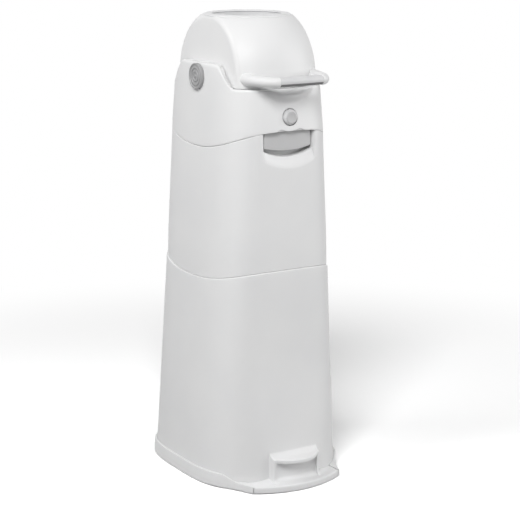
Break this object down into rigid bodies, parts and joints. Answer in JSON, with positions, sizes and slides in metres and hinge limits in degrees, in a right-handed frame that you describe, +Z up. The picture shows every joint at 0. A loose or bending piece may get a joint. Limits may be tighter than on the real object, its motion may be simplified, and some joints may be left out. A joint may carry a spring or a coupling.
{
  "type": "nappy bin",
  "caption": "Tall tapered nappy bin with a drum on top that is turned over by its handle to drop each nappy into the bag inside.",
  "frame": {"origin": "on the floor under the middle of the bin's outer box", "axes": "+Z up, the front with the button, handle and foot plate faces -Y, +X to the right seen from the front"},
  "size_m": [0.2424, 0.3165, 0.7],
  "materials": {
    "white_shell": "satin",
    "grey_trim": "satin",
    "dark_rubber": "matte",
    "steel": "brushed"
  },
  "bodies": {
    "root": {"base_tray": "white_shell", "foot_plate": "white_shell", "foot_ledge": "white_shell", "rubber_feet": "dark_rubber", "base_screws": "steel", "lower_body": "white_shell", "upper_body": "white_shell", "bag_ring": "grey_trim", "latch_keeper": "steel", "hinge_body_leaf": "white_shell", "hinge_pin": "steel"},
    "head": {"head_shell": "white_shell", "lift_tab": "grey_trim", "drum_seal_frame": "dark_rubber", "pivot_bushes": "grey_trim", "button_guide": "white_shell", "latch_pin": "steel", "hinge_head_leaf": "white_shell", "head_screws": "steel", "button_spring": "steel"},
    "drum": {"drum_upper_shell": "white_shell", "drum_lower_shell": "white_shell", "chamber_tube": "white_shell", "ring_trim_top": "grey_trim", "ring_trim_bottom": "grey_trim", "drum_trunnions": "white_shell", "drum_screws": "steel", "side_knob_left": "grey_trim", "side_knob_right": "grey_trim", "handle_bow": "white_shell", "handle_grip": "grey_trim"},
    "piston": {"piston_cup": "white_shell", "piston_lid": "white_shell", "piston_weight": "steel"},
    "button": {"push_button": "grey_trim"},
    "latch": {"latch_lever": "white_shell"}
  },
  "joints": [
    {"name": "head_hinge", "type": "hinge", "parent": "root", "child": "head", "pos_m": [0, 0.14365, 0.533], "axis": [-1, 0, 0], "range_deg": [0, 85]},
    {"name": "drum_flip", "type": "hinge", "parent": "head", "child": "drum", "pos_m": [0, 0.0087, 0.61], "axis": [-1, 0, 0], "range_deg": [0, 180]},
    {"name": "piston_slide", "type": "slide", "parent": "drum", "child": "piston", "axis": [0, 0, 1], "range_m": [0, 0.105]},
    {"name": "button_press", "type": "slide", "parent": "head", "child": "button", "axis": [0, 1, 0], "range_m": [0, 0.0025], "stiffness_N_per_m": 400, "deforming": ["button_spring"]},
    {"name": "latch_swing", "type": "hinge", "parent": "head", "child": "latch", "pos_m": [0, -0.09829, 0.546], "axis": [-1, 0, 0], "range_deg": [0, 13]}
  ],
  "couplings": [
    {"joint": "latch_swing", "follows": "button_press", "rad_per_m": 90}
  ]
}
